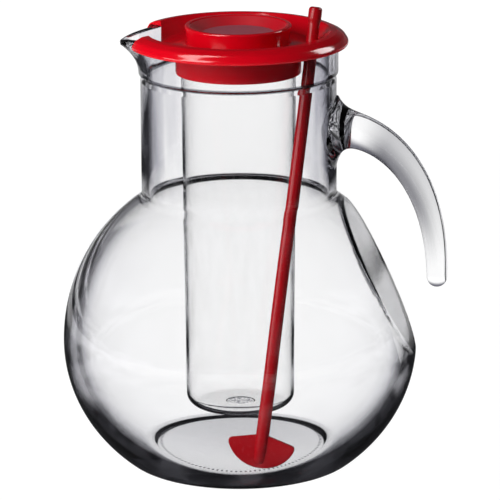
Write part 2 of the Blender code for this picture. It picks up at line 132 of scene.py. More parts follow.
# Tube, thread and seal
TUBE_RADIUS = 0.0289
TUBE_TOP = SOCKET_TOP - 0.0018
TUBE_BOTTOM = 0.0283
TUBE_FLOOR = 0.0020
TUBE_WALL_MIDDLE = 0.0280
GATE_DEPTH = 0.0007
THREAD_LEAD = 0.00095 * math.tau
THREAD_DEPTH = 0.0006
THREAD_REACH = 0.0100
TUBE_THREAD = (TUBE_TOP - 0.0086, TUBE_TOP - 0.0007)
COLLAR_THREAD = (SEAT - 0.0178, SOCKET_TOP - 0.0022)
RIB_HALF_WIDTH = 0.0012
RIB_FLANK = 0.0005
RIB_END = 0.0012
SEAL_INNER_RADIUS = 0.0261
SEAL_MIDDLE_RADIUS = 0.0275
SEAL_LOW = SOCKET_TOP - 0.0015
SEAL_THICKNESS = 0.0012
SEAL_ROUND = 0.0004

# Stirrer: where it crosses the lid and meets the glass floor, and its parts
HOLE_RADIUS = 0.03695
HOLE_AZIMUTH = math.radians(-9)
HOLE_HEIGHT = SOCKET_TOP + 0.0011
FOOT_SPOT_RADIUS = 0.04368
FOOT_SPOT_AZIMUTH = math.radians(-76.12)
BLADE_AZIMUTH = math.radians(-8)
STIRRER_PROUD = 0.0202
ROD_RADIUS = 0.0030
SLOT_ROOM = 0.0006
KNOB_RADIUS = 0.0034
ROD_LOW_RADIUS = 0.0033
BLADE_RADIUS = 0.0180
BLADE_HALF = 0.0012
BLADE_ROUND = 0.0005
BLADE_ACROSS = 0.0168
BLADE_DROOP = math.radians(14)
BLADE_CORNER = math.radians(24)
BLADE_MIDDLE = 0.0080
BLADE_SPAN = 0.0120


# Meshes

def place_mesh(name, verts, faces, material, body):
    """Make an object that rides on a body from points and faces."""
    mesh = bpy.data.meshes.new(name)
    mesh.from_pydata([tuple(v) for v in verts], [], faces)
    mesh.validate()
    piece = bpy.data.objects.new(name, mesh)
    bpy.context.scene.collection.objects.link(piece)
    if material:
        mesh.materials.append(material)
    if body:
        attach(piece, body)
    return piece


def outward(mesh):
    """Turn all faces of a closed mesh outwards."""
    form = bmesh.new()
    form.from_mesh(mesh)
    bmesh.ops.remove_doubles(form, verts=form.verts, dist=0.000002)
    bmesh.ops.recalc_face_normals(form, faces=form.faces)
    form.to_mesh(mesh)
    form.free()


def smooth(mesh, angle=32):
    """Shade a mesh smooth except at edges sharper than the angle in degrees."""
    mesh.shade_smooth()
    mesh.set_sharp_from_angle(angle=math.radians(angle))


def grid_faces(rows, columns):
    """Quads of a grid of points that closes on itself across its columns, numbered row by row."""
    faces = []
    for row in range(rows - 1):
        for column in range(columns):
            right = (column + 1) % columns
            a, b = row * columns + column, row * columns + right
            faces.append((a, b, b + columns, a + columns))
    return faces


def split(points, longest):
    """Add points so that no stretch of a profile is longer than a length."""
    dense = [points[0]]
    for (r0, z0), (r1, z1) in zip(points, points[1:]):
        pieces = max(1, math.ceil(math.hypot(r1 - r0, z1 - z0) / longest))
        for n in range(1, pieces + 1):
            dense.append((r0 + (r1 - r0) * n / pieces, z0 + (z1 - z0) * n / pieces))
    return dense


def rounded(corners, steps=5):
    """Profile through (radius, height, corner round) points, with each corner rounded."""
    points = []
    for n, (r, z, size) in enumerate(corners):
        if size == 0 or n in (0, len(corners) - 1):
            points.append((r, z))
            continue
        here = Vector((r, z))
        before = Vector(corners[n - 1][:2]) - here
        after = Vector(corners[n + 1][:2]) - here
        half = before.angle(after) / 2
        reach = min(size / math.tan(half), before.length * 0.49, after.length * 0.49)
        size = reach * math.tan(half)
        towards = (before.normalized() + after.normalized()).normalized()
        centre = here + towards * (size / math.sin(half))
        start = here + before.normalized() * reach - centre
        end = here + after.normalized() * reach - centre
        turn = start.angle_signed(end)
        for step in range(steps + 1):
            spoke = start.copy()
            spoke.rotate(Matrix.Rotation(-turn * step / steps, 2))
            points.append(tuple(centre + spoke))
    return points


def arc(centre, radii, start, end, count):
    """Points along an ellipse from one angle to another, ends included."""
    angles = np.linspace(start, end, count + 1)
    return [(centre[0] + radii[0] * math.cos(a), centre[1] + radii[1] * math.sin(a)) for a in angles]


def bezier(start, bend, end, count):
    """Points of a quadratic curve between two points."""
    return [
        tuple((1 - t) ** 2 * a + 2 * t * (1 - t) * b + t**2 * c for a, b, c in zip(start, bend, end))
        for t in np.linspace(0.0, 1.0, count + 1)
    ]


def revolve(profile, angles):
    """Points of a profile turned round Z, row by row."""
    profile = np.array(profile)
    radius = profile[:, 0][:, None]
    x = radius * np.cos(angles)[None, :]
    y = radius * np.sin(angles)[None, :]
    z = np.repeat(profile[:, 1][:, None], len(angles), axis=1)
    return np.stack([x, y, z], axis=2)


def even_angles(count):
    """Angles all round, evenly spaced."""
    return np.arange(count) * math.tau / count


def turned(name, profile, material, body, steps, shape=None):
    """Turn a closed profile round Z, change its points by shape, and make a piece of it."""
    grid = revolve(profile, even_angles(steps))
    if shape:
        shape(grid)
    piece = place_mesh(name, grid.reshape(-1, 3), grid_faces(len(profile), steps), material, body)
    outward(piece.data)
    smooth(piece.data)
    return piece


def boolean(piece, other, operation):
    """Cut or join a mesh with another and delete the other."""
    modifier = piece.modifiers.new("boolean", "BOOLEAN")
    modifier.operation = operation
    modifier.solver = "EXACT"
    modifier.object = other
    bpy.context.view_layer.update()
    graph = bpy.context.evaluated_depsgraph_get()
    mesh = bpy.data.meshes.new_from_object(piece.evaluated_get(graph))
    piece.modifiers.clear()
    piece.data = mesh
    bpy.data.objects.remove(other)


def prism(name, outline, low, high):
    """A straight-sided cutter over an outline in the XY plane."""
    count = len(outline)
    verts = [(x, y, low) for x, y in outline] + [(x, y, high) for x, y in outline]
    faces = [tuple(reversed(range(count))), tuple(range(count, count * 2))]
    faces += [(n, (n + 1) % count, (n + 1) % count + count, n + count) for n in range(count)]
    cutter = place_mesh(name, verts, faces, None, None)
    outward(cutter.data)
    return cutter


# Node tools

class Tree:
    """The nodes of a material or of the world, with tools that add to them and give their outputs."""

    def __init__(self, owner):
        owner.use_nodes = True
        self.nodes = owner.node_tree.nodes
        self.links = owner.node_tree.links

    def fill(self, node, inputs):
        """Set a node's inputs to numbers or (red, green, blue) colours, or link outputs to them."""
        for name, value in inputs.items():
            socket = node.inputs[name]
            if isinstance(value, bpy.types.NodeSocket):
                self.links.new(value, socket)
            elif socket.type == "RGBA":
                socket.default_value = (*value, 1.0)
            else:
                socket.default_value = value

    def math(self, operation, first, second=0.0):
        """A math node's value."""
        node = self.nodes.new("ShaderNodeMath")
        node.operation = operation
        self.fill(node, {0: first, 1: second})
        return node.outputs["Value"]

    def times(self, first, *others):
        """The product of values."""
        for other in others:
            first = self.math("MULTIPLY", first, other)
        return first

    def vector(self, operation, first, second, result="Vector"):
        """A vector math node's vector, or its value where that is asked for."""
        node = self.nodes.new("ShaderNodeVectorMath")
        node.operation = operation
        self.fill(node, {0: first, 1: second})
        return node.outputs[result]

    def away(self, place, centre=(0.0, 0.0, 0.0)):
        """The distance of a place from a centre."""
        return self.vector("DISTANCE", place, centre, "Value")

    def from_axis(self, place):
        """The distance of a place from the Z axis."""
        return self.away(self.vector("MULTIPLY", place, (1.0, 1.0, 0.0)))

    def coords(self, kind="Object"):
        """The place that is shaded, as a rule in the object's own coordinates."""
        return self.nodes.new("ShaderNodeTexCoord").outputs[kind]

    def part(self, place, name):
        """One coordinate of a place."""
        node = self.nodes.new("ShaderNodeSeparateXYZ")
        self.fill(node, {"Vector": place})
        return node.outputs[name]

    def noise(self, scale, detail=2.0, stretch=(1.0, 1.0, 1.0), coords=None):
        """A noise between 0 and 1, in the object's own coordinates unless others are given."""
        coords = self.coords() if coords is None else coords
        mapping = self.nodes.new("ShaderNodeMapping")
        self.fill(mapping, {"Vector": coords, "Scale": stretch})
        texture = self.nodes.new("ShaderNodeTexNoise")
        self.fill(texture, {"Vector": mapping.outputs["Vector"], "Scale": scale, "Detail": detail})
        return texture.outputs["Fac"]

    def between(self, value, low, high):
        """A value from 0 to 1 mapped to a range."""
        node = self.nodes.new("ShaderNodeMapRange")
        self.fill(node, {"Value": value, "To Min": low, "To Max": high})
        return node.outputs["Result"]

    def fade(self, value, low, high):
        """0 below low, 1 above high, smooth between."""
        node = self.nodes.new("ShaderNodeMapRange")
        node.interpolation_type = "SMOOTHSTEP"
        self.fill(node, {"Value": value, "From Min": low, "From Max": high})
        return node.outputs["Result"]

    def band(self, value, start, full, last, gone):
        """0 up to start, 1 from full to last and 0 again from gone on, smooth between."""
        return self.math("SUBTRACT", self.fade(value, start, full), self.fade(value, last, gone))

    def slant(self, normal=None):
        """0 where the surface is seen face on, up to 1 where it is seen edge on."""
        node = self.nodes.new("ShaderNodeLayerWeight")
        self.fill(node, {"Blend": 0.5})
        if normal is not None:
            self.fill(node, {"Normal": normal})
        return node.outputs["Facing"]

    def ramp(self, value, stops):
        """Colours by a value, through stops of a position and a colour, the first at 0 and the last at 1."""
        node = self.nodes.new("ShaderNodeValToRGB")
        elements = node.color_ramp.elements
        elements[0].color = (*stops[0][1], 1.0)
        elements[1].color = (*stops[-1][1], 1.0)
        for position, colour in stops[1:-1]:
            elements.new(position).color = (*colour, 1.0)
        self.fill(node, {"Fac": value})
        return node.outputs["Color"]

    def mix(self, factor, first, second, blend="MIX"):
        """Two colours mixed by a factor."""
        node = self.nodes.new("ShaderNodeMix")
        node.data_type = "RGBA"
        node.blend_type = blend
        self.fill(node, {"Factor": factor, "A": first, "B": second})
        return node.outputs["Result"]

    def bump(self, shader, height, strength, distance):
        """The normal of a surface that is bumped by a height, which the shader then takes too."""
        node = self.nodes.new("ShaderNodeBump")
        self.fill(node, {"Height": height, "Strength": strength, "Distance": distance})
        self.fill(shader, {"Normal": node.outputs["Normal"]})
        return node.outputs["Normal"]


def new_material(name):
    """A material, its node tools and its shader."""
    material = bpy.data.materials.new(name)
    tree = Tree(material)
    return material, tree, tree.nodes["Principled BSDF"]


# Places on the glass and on the tube where shade is painted in, and where the painted edge shade is eased

# A band is given by where it starts, is full, begins to fade and is gone
BOWL_MIDDLE = (0.0, 0.0, BODY_CENTRE)
FACET_CIRCLE = 0.0465
FACET_SIDE = 0.0600
SHOULDER_BAND = (0.114, 0.126, 0.146, 0.152)
DOT_COUNT = 110
DOT_BEAT = 0.2
DOT_RADIUS = 0.0424
DOT_SIZE = 0.0008
DOT_TOP = 0.0020
LEDGE_BAND = (LEDGE_HEIGHT - 0.0015, LEDGE_HEIGHT - 0.0008, LEDGE_HEIGHT + 0.0004, LEDGE_HEIGHT + 0.0011)
NECK_START = (0.140, 0.152)
NECK_OUTSIDE = BAND_RADIUS + 0.0005
GATE_RADIUS = 0.0064
GATE_TOP = TUBE_BOTTOM + 0.0012
HANDLE_BEND_CENTRE = (0.0500, 0.0, 0.1000)
HANDLE_BEND_REACH = 0.0500
HANDLE_BEND_RISE = 0.0745


def facet_share(tree):
    """1 on the flat facet and 0 elsewhere."""
    normal = (math.cos(FACET_TILT), 0.0, math.sin(FACET_TILT))
    offset = tree.vector("SUBTRACT", tree.coords(), BOWL_MIDDLE)
    along = tree.vector("DOT_PRODUCT", offset, normal, "Value")
    aside = tree.away(offset, tree.vector("PROJECT", offset, normal))
    inside = tree.math("LESS_THAN", aside, FACET_CIRCLE)
    return tree.times(inside, tree.math("GREATER_THAN", along, FACET_SIDE))


def shoulder_share(tree):
    """1 where the bowl closes in below the neck and 0 elsewhere, soft between."""
    return tree.band(tree.part(tree.coords(), "Z"), *SHOULDER_BAND)


def dots_and_painted_shade(tree):
    """1 on the ring of small dots that the jug stands on and 0 elsewhere: the dots are real, their dark
    colour is painted shade.
    """
    coords = tree.coords()
    angle = tree.math("ARCTAN2", tree.part(coords, "Y"), tree.part(coords, "X"))
    beat = tree.math("SINE", tree.times(angle, DOT_COUNT))
    dots = tree.math("GREATER_THAN", beat, DOT_BEAT)
    aside = tree.math("ABSOLUTE", tree.math("SUBTRACT", tree.from_axis(coords), DOT_RADIUS))
    near = tree.math("LESS_THAN", aside, DOT_SIZE)
    low = tree.math("LESS_THAN", tree.part(coords, "Z"), DOT_TOP)
    return tree.times(dots, near, low)


def ledge_painted_shade(tree):
    """Painted shade on the ledge below the rim band: 1 there and 0 elsewhere, soft between."""
    return tree.band(tree.part(tree.coords(), "Z"), *LEDGE_BAND)


def neck_painted_shade(tree):
    """Painted shade in upright streaks in the neck where it is seen aslant, between 0 and 1, and 0 elsewhere.
    """
    coords = tree.coords()
    near = tree.math("LESS_THAN", tree.from_axis(coords), NECK_OUTSIDE)
    high = tree.fade(tree.part(coords, "Z"), *NECK_START)
    streaks = tree.fade(tree.noise(75.0, detail=1.0, stretch=(1.0, 1.0, 0.16)), 0.38, 0.57)
    return tree.times(near, high, streaks, tree.fade(tree.slant(), 0.08, 0.46))


def gate_spot_and_painted_shade(tree):
    """Patches between 0 and 1 on the rough spot under the tube, where its plastic flowed in; the spot is
    real, its dark colour is painted shade.
    """
    coords = tree.coords()
    near = tree.math("LESS_THAN", tree.from_axis(coords), GATE_RADIUS)
    low = tree.math("LESS_THAN", tree.part(coords, "Z"), GATE_TOP)
    return tree.times(tree.fade(tree.noise(620.0, detail=1.0), 0.38, 0.56), near, low)


def handle_painted_shade(tree):
    """Painted shade along the inner side of the handle's bend: 1 there and 0 elsewhere, soft between."""
    coords = tree.coords()
    bend = tree.vector("SUBTRACT", coords, HANDLE_BEND_CENTRE)
    bend = tree.vector("MULTIPLY", bend, (1 / HANDLE_BEND_REACH, 0.0, 1 / HANDLE_BEND_RISE))
    inner = tree.math("SUBTRACT", 1.0, tree.fade(tree.away(bend), 0.94, 1.08))
    clear = tree.math("GREATER_THAN", tree.away(coords, BOWL_MIDDLE), BODY_RADIUS + 0.001)
    out = tree.fade(tree.part(coords, "X"), 0.058, 0.074)
    high = tree.fade(tree.part(coords, "Z"), 0.098, 0.140)
    return tree.times(inner, clear, out, high)


# Materials

# Painted shade: the glass darkens by these stops as it is seen more edge on, standing in for the dark
# surroundings its edges reflect
GLASS_EDGE_PAINTED_SHADE = (
    (0.00, (1.00, 1.00, 1.00)),
    (0.50, (0.99, 0.99, 1.00)),
    (0.58, (0.88, 0.88, 0.90)),
    (0.66, (0.62, 0.62, 0.66)),
    (0.76, (0.17, 0.17, 0.19)),
    (1.00, (0.02, 0.02, 0.03)),
)
# Painted edge shade of the same kind for the tube, fainter
TUBE_EDGE_PAINTED_SHADE = (
    (0.00, (1.00, 1.00, 1.00)),
    (0.70, (1.00, 1.00, 1.00)),
    (0.90, (0.94, 0.94, 0.96)),
    (1.00, (0.80, 0.80, 0.83)),
)
# The facet and the shoulder keep less of the painted edge shade: their slant is scaled by these numbers
GLASS_EASED = ((facet_share, 0.45), (shoulder_share, 0.35))
# Shades multiplied into the jug's glass: painted shade on the handle's inner bend, the ledge and the neck's
# streaks, and on the real dots
GLASS_SHADE_MARKS = (
    (handle_painted_shade, (0.20, 0.20, 0.22)),
    (dots_and_painted_shade, (0.10, 0.10, 0.11)),
    (ledge_painted_shade, (0.13, 0.13, 0.15)),
    (neck_painted_shade, (0.58, 0.58, 0.63)),
)
# The tube's real gate spot, darkened with painted shade
TUBE_SHADE_MARKS = ((gate_spot_and_painted_shade, (0.22, 0.22, 0.25)),)
GLASS_TINT = (0.70, 0.71, 0.76)
TUBE_TINT = (0.74, 0.74, 0.80)
TINT_DENSITY = 6.0


def glass_material(name, tint, ior, waviness, edge, eased, marks):
    """Clear glass or plastic, faintly wavy, greyer where light goes a long way in it, and painted darker
    where seen edge on.

    The eased places get less of that painted edge shade, and the marks multiply their shades in.
    """
    material, tree, shader = new_material(name)
    slow = tree.noise(22.0, detail=0.0, stretch=(0.7, 0.7, 1.8))
    slant = tree.slant(tree.bump(shader, slow, waviness, 0.002))
    for share, least in eased:
        slant = tree.times(slant, tree.between(share(tree), 1.0, least))
    tone = tree.ramp(slant, edge)
    for share, shade in marks:
        tone = tree.mix(share(tree), tone, shade, "MULTIPLY")
    tree.fill(shader, {"Base Color": tone, "Transmission Weight": 1.0, "IOR": ior})
    tree.fill(shader, {"Roughness": tree.between(tree.noise(240.0), 0.0, 0.03)})
    volume = tree.nodes.new("ShaderNodeVolumeAbsorption")
    tree.fill(volume, {"Color": tint, "Density": TINT_DENSITY})
    tree.fill(tree.nodes["Material Output"], {"Volume": volume.outputs["Volume"]})
    return material


def red_material(name, colour, roughness, gloss):
    """Moulded plastic with slight flow marks, with a level of gloss."""
    material, tree, shader = new_material(name)
    cloud = tree.noise(34.0, detail=3.0)
    deep = tuple(channel * 0.86 for channel in colour)
    rough = tree.between(tree.noise(900.0), roughness * 0.8, roughness * 1.25)
    tree.fill(shader, {"Base Color": tree.mix(cloud, deep, colour), "Roughness": rough})
    tree.fill(shader, {"IOR": 1.5, "Specular IOR Level": gloss})
    tree.bump(shader, cloud, 0.04, 0.001)
    return material


def seal_material():
    """Soft pale rubber with a fine grain."""
    material, tree, shader = new_material("seal_rubber")
    grain = tree.noise(1500.0)
    tree.fill(shader, {"Base Color": (0.72, 0.72, 0.70), "Roughness": tree.between(grain, 0.45, 0.65)})
    tree.bump(shader, grain, 0.2, 0.0002)
    return material


jug_glass = glass_material("jug_glass", GLASS_TINT, 1.47, 0.08, GLASS_EDGE_PAINTED_SHADE, GLASS_EASED, GLASS_SHADE_MARKS)
tube_plastic = glass_material("tube_plastic", TUBE_TINT, 1.27, 0.02, TUBE_EDGE_PAINTED_SHADE, (), TUBE_SHADE_MARKS)
lid_red = red_material("lid_red", (0.72, 0.0010, 0.0100), 0.12, 0.50)
# The recess: the same plastic, rougher, in a red painted darker as shade
recess_red_painted_shade = red_material("recess_red_painted_shade", (0.62, 0.0020, 0.0140), 0.42, 0.40)
# The disc: the same plastic, matte, in a pale pink that is painted sheen
disc_red_painted_sheen = red_material("disc_red_painted_sheen", (0.46, 0.085, 0.125), 0.60, 0.40)
stirrer_red = red_material("stirrer_red", (0.40, 0.0010, 0.0060), 0.25, 0.30)
rubber = seal_material()


# Glass

def bowl(offset, lower_axis, start_height, fillet, widest=None):
    """The bowl from near its floor up to the neck, moved in by offset, thicker at its widest if asked."""
    radius = BODY_RADIUS - offset
    across = NECK_RADIUS - offset + fillet
    up = math.sqrt((BODY_RADIUS - offset + fillet) ** 2 - across**2)
    centre, angle = (across, BODY_CENTRE + up), math.atan2(up, across)
    widest = widest or radius
    foot = math.asin((BODY_CENTRE - start_height) / lower_axis)
    points = arc((0.0, BODY_CENTRE), (widest, lower_axis), -foot, 0.0, 44)
    for step in np.linspace(0.0, angle, 53)[1:]:
        wide = radius + (widest - radius) * math.cos(math.pi / 2 * step / angle) ** 2
        points.append((wide * math.cos(step), BODY_CENTRE + wide * math.sin(step)))
    return points + arc(centre, (fillet, fillet), math.pi + angle, math.pi, 8)[1:]


def outer_profile():
    """The outside of the glass, from the middle of its underside up to the rim."""
    wall = bowl(0.0, LOWER_AXIS, BOWL_START, SHOULDER_FILLET)
    underside = [
        (0.0, UNDERSIDE_HEIGHT),
        (UNDERSIDE_RADIUS, UNDERSIDE_HEIGHT),
        (FOOT_RING_RADIUS, 0.0),
        (FOOT_RADIUS, 0.0),
    ]
    points = split(underside, WALL_STEP)
    points += bezier((FOOT_RADIUS, 0.0), (FOOT_BEND, 0.0), wall[0], 6)[1:] + wall[1:]
    neck = [
        (NECK_RADIUS, wall[-1][1], 0.0),
        (NECK_RADIUS, LEDGE_HEIGHT - 0.0034, 0.0016),
        (NECK_RADIUS - 0.0006, LEDGE_HEIGHT - 0.0005, 0.0005),
        (BAND_RADIUS, LEDGE_HEIGHT + 0.0003, 0.0008),
        (BAND_RADIUS, JUG_HEIGHT, 0.0017),
        (RIM_MIDDLE, JUG_HEIGHT, 0.0),
    ]
    return points + split(rounded(neck, 6), CURVE_STEP)[1:]


def inner_profile():
    """The inside of the glass, from the rim down to the middle of its floor."""
    wall = bowl(WALL, INNER_LOWER_AXIS, INNER_BOWL_START, INNER_FILLET, INNER_MIDDLE_RADIUS)
    bore = NECK_RADIUS - WALL
    neck = [(RIM_MIDDLE, JUG_HEIGHT, 0.0), (bore, JUG_HEIGHT, 0.0015), (bore, wall[-1][1], 0.0)]
    points = split(rounded(neck, 6), CURVE_STEP) + wall[::-1][1:]
    points += bezier(wall[0], (FLOOR_BEND, FLOOR_HEIGHT), (FLOOR_RADIUS, FLOOR_HEIGHT), 6)[1:]
    return points + split([(FLOOR_RADIUS, FLOOR_HEIGHT), (0.0, FLOOR_HEIGHT)], FLAT_STEP)[1:]


def jug_angles():
    """Angles round the jug in radians, closer together at the spout and the handle."""
    angles, here = [], 0.0
    while here < math.tau:
        angles.append(here)
        from_spout = abs(here - math.pi)
        from_handle = min(here, math.tau - here)
        close = from_spout < CLOSE_TO_SPOUT or from_handle < CLOSE_TO_HANDLE
        here += CLOSE_ANGLE if close else WIDE_ANGLE
    return np.array(angles)


def pull_spout(grid, radius, reach, start, top, power):
    """Draw a round wall out to a point at -X, more the higher it is."""
    flank = math.acos(radius / reach)
    full = reach / radius - 1.0
    x, y, z = grid[..., 0], grid[..., 1], grid[..., 2]
    rise = np.clip((z - start) / (top - start), 0.0, 1.0) ** power
    lean = np.clip(flank - np.hypot(np.arctan2(y, -x), SPOUT_POINT) + SPOUT_POINT, 0.0, flank)
    stretch = 1.0 / np.cos(lean) - 1.0
    grid[..., 2] = z - SPOUT_DIP * (stretch / full) ** 2 * rise
    grid[..., 0] = x * (1.0 + stretch * rise)
    grid[..., 1] = y * (1.0 + stretch * rise)


def press_facet(grid, out, soft):
    """Press the flat facet into the bowl below the handle, with a soft edge."""
    normal = np.array([math.cos(FACET_TILT), 0.0, math.sin(FACET_TILT)])
    along = grid - np.array(BOWL_MIDDLE)
    depth = along @ normal - out
    flat = along - (depth + out)[..., None] * normal
    near = np.linalg.norm(flat, axis=-1) < FACET_LIMIT
    move = np.where(depth > soft, depth, np.where(depth > -soft, (depth + soft) ** 2 / (4 * soft), 0.0))
    grid -= (move * near)[..., None] * normal


def make_glass():
    """The body, with its spout, facet and hollow."""
    outside, inside = outer_profile(), inner_profile()
    profile = outside + inside[1:]
    angles = jug_angles()
    grid = revolve(profile, angles)
    outer, inner = grid[: len(outside)], grid[len(outside) :]
    pull_spout(outer, BAND_RADIUS, SPOUT_REACH, SPOUT_START, SPOUT_TOP, SPOUT_POWER)
    pull_spout(
        inner, SPOUT_INNER_RADIUS, SPOUT_INNER_REACH, SPOUT_INNER_START, JUG_HEIGHT, SPOUT_INNER_POWER
    )
    press_facet(outer, FACET_OUT, FACET_SOFT)
    press_facet(inner, FACET_OUT - WALL, FACET_INNER_SOFT)
    faces = grid_faces(len(profile), len(angles))
    glass = place_mesh("jug_glass", grid.reshape(-1, 3), faces, jug_glass, "jug")
    outward(glass.data)
    return glass


def handle_point(t):
    """A point of the handle's centre line, from 0 at the neck to 1 at its end."""
    a, b = HANDLE_BENDS
    return HANDLE_START * (1 - t) ** 3 + a * 3 * t * (1 - t) ** 2 + b * 3 * t**2 * (1 - t) + HANDLE_END * t**3


def handle_rings():
    """Centre, up direction, half height, half width and closeness to the neck of each ring of the handle."""
    rings = []
    for t in np.linspace(0.0, 1.0, 64) ** 1.7:
        centre = handle_point(t)
        ahead = (handle_point(min(t + 0.004, 1.0)) - handle_point(max(t - 0.004, 0.0))).normalized()
        out = max(centre.x - NECK_RADIUS, 0.0)
        fade = math.exp(-out / WELD_LENGTH)
        foot = math.exp(-out / WELD_FOOT_LENGTH)
        half = HANDLE_HALF + (HANDLE_END_HALF - HANDLE_HALF) * t**0.9
        centre = centre - Vector((0.0, 0.0, WELD_DROP * fade))
        up = Vector((-ahead.z, 0.0, ahead.x))
        wide = half * HANDLE_WIDER + WELD_WIDTH * fade + WELD_FOOT_WIDTH * foot
        rings.append((centre, up, half + WELD_HEIGHT * fade, wide, fade))
    end, down, across = handle_point(1.0), Vector((0.0, 0.0, -1.0)), Vector((1.0, 0.0, 0.0))
    for angle in np.linspace(0.0, math.pi / 2, 10)[1:]:
        size = HANDLE_END_HALF * math.cos(angle)
        centre = end + down * HANDLE_END_HALF * math.sin(angle)
        rings.append((centre, across, size, size * HANDLE_WIDER, 0.0))
    return rings


def make_handle():
    """The bent glass bar, spread where it is fused to the neck."""
    sides = 56
    verts = []
    rings = handle_rings()
    for centre, up, high, wide, fade in rings:
        for angle in even_angles(sides):
            point = centre + up * high * math.cos(angle)
            point.y += wide * math.sin(angle)
            sunk = NECK_RADIUS - math.sqrt(max(NECK_RADIUS**2 - point.y**2, 0.0))
            point.x -= sunk * min(1.0, fade * 1.3)
            verts.append(point)
    faces = grid_faces(len(rings), sides)
    faces.append(tuple(range(sides)))
    bar = place_mesh("bar", verts, faces, jug_glass, None)
    outward(bar.data)
    return bar


glass = make_glass()
boolean(glass, make_handle(), "UNION")
smooth(glass.data, angle=26)
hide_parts("glass_body", "glass_handle")


# Lid

def cut_thread(grid, low, high, depth, start):
    """Raise a right-handed rib on the wall between two heights, by a depth that is negative inwards."""
    x, y, z = grid[..., 0], grid[..., 1], grid[..., 2]
    turns = (z - start) / THREAD_LEAD - np.arctan2(y, x) / math.tau
    aside = np.abs(turns - np.round(turns)) * THREAD_LEAD
    rib = np.clip((RIB_HALF_WIDTH - aside) / RIB_FLANK, 0.0, 1.0)
    ends = np.clip(np.minimum(z - low, high - z) / RIB_END, 0.0, 1.0)
    move = 1.0 + depth * rib * ends / np.hypot(x, y)
    grid[..., 0] = x * move
    grid[..., 1] = y * move


# The lid's section as corners with their rounds, heights from its seat
LID_CORNERS = (
    (0.0, 0.0013, 0.0),
    (0.0184, 0.0013, 0.0008),
    (0.0240, 0.0050, 0.0008),
    (0.0247, 0.0054, 0.0004),
    (0.0269, 0.0054, 0.0008),
    (0.0255, -0.0042, 0.0010),
    (0.0385, -0.0042, 0.0020),
    (0.0456, 0.0021, 0.0006),
    (0.0464, 0.0026, 0.0005),
    (0.0496, 0.0022, 0.0012),
    (0.0533, 0.0005, 0.0040),
    (0.0553, -0.0025, 0.0030),
    (0.0551, -0.0041, 0.0004),
    (0.0536, -0.0041, 0.0003),
    (0.0538, 0.0, 0.0016),
    (0.0466, 0.0, 0.0004),
    (0.0380, -0.0064, 0.0006),
    (COLLAR_RADIUS, -0.0064, 0.0004),
    (COLLAR_RADIUS, -0.0183, 0.0005),
    (COLLAR_BORE, -0.0183, 0.0004),
    (COLLAR_BORE, -0.0064, 0.0),
    (0.0233, -0.0064, 0.0004),
    (0.0233, -0.0010, 0.0006),
    (0.0, -0.0010, 0.0),
)


def bore_rows(profile):
    """The first and the last point of a profile on the collar's bore."""
    rows = [n for n, (r, z) in enumerate(profile) if abs(r - COLLAR_BORE) < 0.00001]
    return rows[0], rows[-1]


def stirrer_line():
    """Where the stirrer's axis crosses the lid's web, and where it meets the glass floor."""
    ends = (
        (HOLE_RADIUS, HOLE_AZIMUTH, HOLE_HEIGHT),
        (FOOT_SPOT_RADIUS, FOOT_SPOT_AZIMUTH, FLOOR_HEIGHT),
    )
    return [Vector((radius * math.cos(angle), radius * math.sin(angle), z)) for radius, angle, z in ends]


def slot_cutter():
    """The slot that the stirrer leans in, straight down through the lid."""
    hole, foot = stirrer_line()
    lean = (hole - foot).normalized()
    shift = math.hypot(lean.x, lean.y) / lean.z * STIRRER_PROUD
    turn = math.atan2(lean.y, lean.x)
    half = ROD_RADIUS / lean.z + SLOT_ROOM
    outline = arc((shift, 0.0), (half, half), -math.pi / 2, math.pi / 2, 16)
    outline += arc((0.0, 0.0), (half, half), math.pi / 2, math.pi * 3 / 2, 16)
    cos, sin = math.cos(turn), math.sin(turn)
    outline = [(hole.x + u * cos - v * sin, hole.y + u * sin + v * cos) for u, v in outline]
    return prism("slot", outline, SEAT - CUT_REACH, SEAT + CUT_REACH)


def make_lid():
    """The lid's moulding with its thread, gap and slot; a rougher recess in painted shade, a matte disc in
    painted sheen.
    """
    profile = [(r, z + SEAT) for r, z in split(rounded(LID_CORNERS), CURVE_STEP)]
    first, last = bore_rows(profile)
    profile[first : last + 1] = split([profile[first], profile[last]], THREAD_STEP)
    first, last = bore_rows(profile)

    def shape(grid):
        cut_thread(grid[first : last + 1], *COLLAR_THREAD, -THREAD_DEPTH, THREAD_LEAD / 2)

    lid = turned("lid_red", profile, lid_red, "lid", 240, shape)
    boolean(lid, prism("gap", GAP_OUTLINE, SEAT - CUT_REACH, SEAT + CUT_REACH), "DIFFERENCE")
    boolean(lid, slot_cutter(), "DIFFERENCE")
    smooth(lid.data)
    lid.data.materials.append(recess_red_painted_shade)
    lid.data.materials.append(disc_red_painted_sheen)
    # Recess faces take the red painted darker as shade, disc faces the pink painted pale as sheen
    for face in lid.data.polygons:
        away = math.hypot(face.center.x, face.center.y)
        if away < RECESS_RADIUS and face.normal.z > 0.1:
            face.material_index = 2 if away < DISC_RADIUS else 1
    return lid


lid = make_lid()
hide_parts("lid")


# Tube and seal

